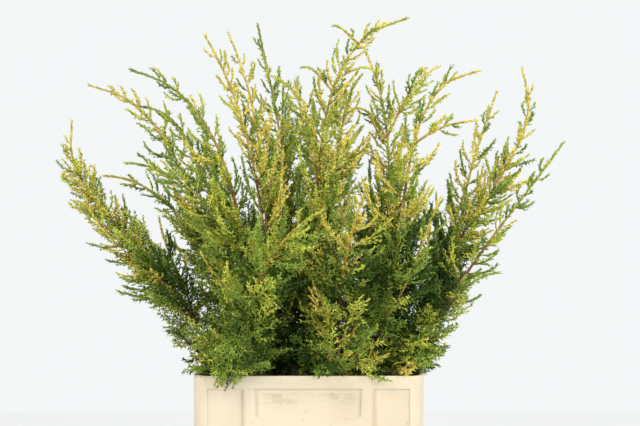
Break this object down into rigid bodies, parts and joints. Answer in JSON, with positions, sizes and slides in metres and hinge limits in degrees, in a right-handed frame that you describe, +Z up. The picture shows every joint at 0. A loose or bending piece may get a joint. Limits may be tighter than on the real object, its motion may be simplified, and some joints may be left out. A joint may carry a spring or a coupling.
{
  "type": "juniper shrub in a tub",
  "caption": "Bushy spray of upright and arching golden-green juniper stems standing in a deep rectangular cream plastic flower tub with a recessed label field.",
  "frame": {"origin": "middle of the tub's flat underside, on the level surface that it stands on", "axes": "+Z up; +X to the right along the tub's long side as seen from the side with the label field; +Y away from that side, so the label field faces -Y"},
  "size_m": [0.7846, 0.525, 0.856],
  "materials": {
    "tub": "satin moulded plastic",
    "bark": "rough flaking bark",
    "foliage_gold": "matte needles",
    "foliage_yellow_green": "matte needles",
    "foliage_green": "matte needles",
    "foliage_deep_green": "matte needles"
  },
  "bodies": {
    "root": {"tub": "tub", "stem_left_low": "bark", "stem_left_arching": "bark", "stem_left_green": "bark", "stem_left_gold": "bark", "stem_back_green": "bark", "stem_centre": "bark", "stem_right_upright": "bark", "stem_right_arching": "bark", "stem_right_tall": "bark", "stem_right_low": "bark", "stem_front_left": "bark", "stem_front_right": "bark", "stem_back_left": "bark", "stem_back_middle": "bark", "stem_back_right": "bark", "foliage_left_low": "foliage_gold", "foliage_left_arching": "foliage_yellow_green", "foliage_left_green": "foliage_green", "foliage_left_gold": "foliage_gold", "foliage_back_green": "foliage_green", "foliage_centre": "foliage_gold", "foliage_right_upright": "foliage_yellow_green", "foliage_right_arching": "foliage_yellow_green", "foliage_right_tall": "foliage_gold", "foliage_right_low": "foliage_green", "foliage_front_left": "foliage_yellow_green", "foliage_front_right": "foliage_gold", "foliage_back_left": "foliage_green", "foliage_back_middle": "foliage_yellow_green", "foliage_back_right": "foliage_green", "skirt_1": "foliage_deep_green", "skirt_2": "foliage_yellow_green", "skirt_3": "foliage_deep_green", "skirt_4": "foliage_deep_green", "skirt_5": "foliage_yellow_green", "skirt_6": "foliage_deep_green", "skirt_7": "foliage_deep_green", "skirt_8": "foliage_yellow_green", "skirt_9": "foliage_deep_green", "skirt_10": "foliage_deep_green", "skirt_11": "foliage_yellow_green", "skirt_12": "foliage_deep_green"}
  },
  "joints": []
}
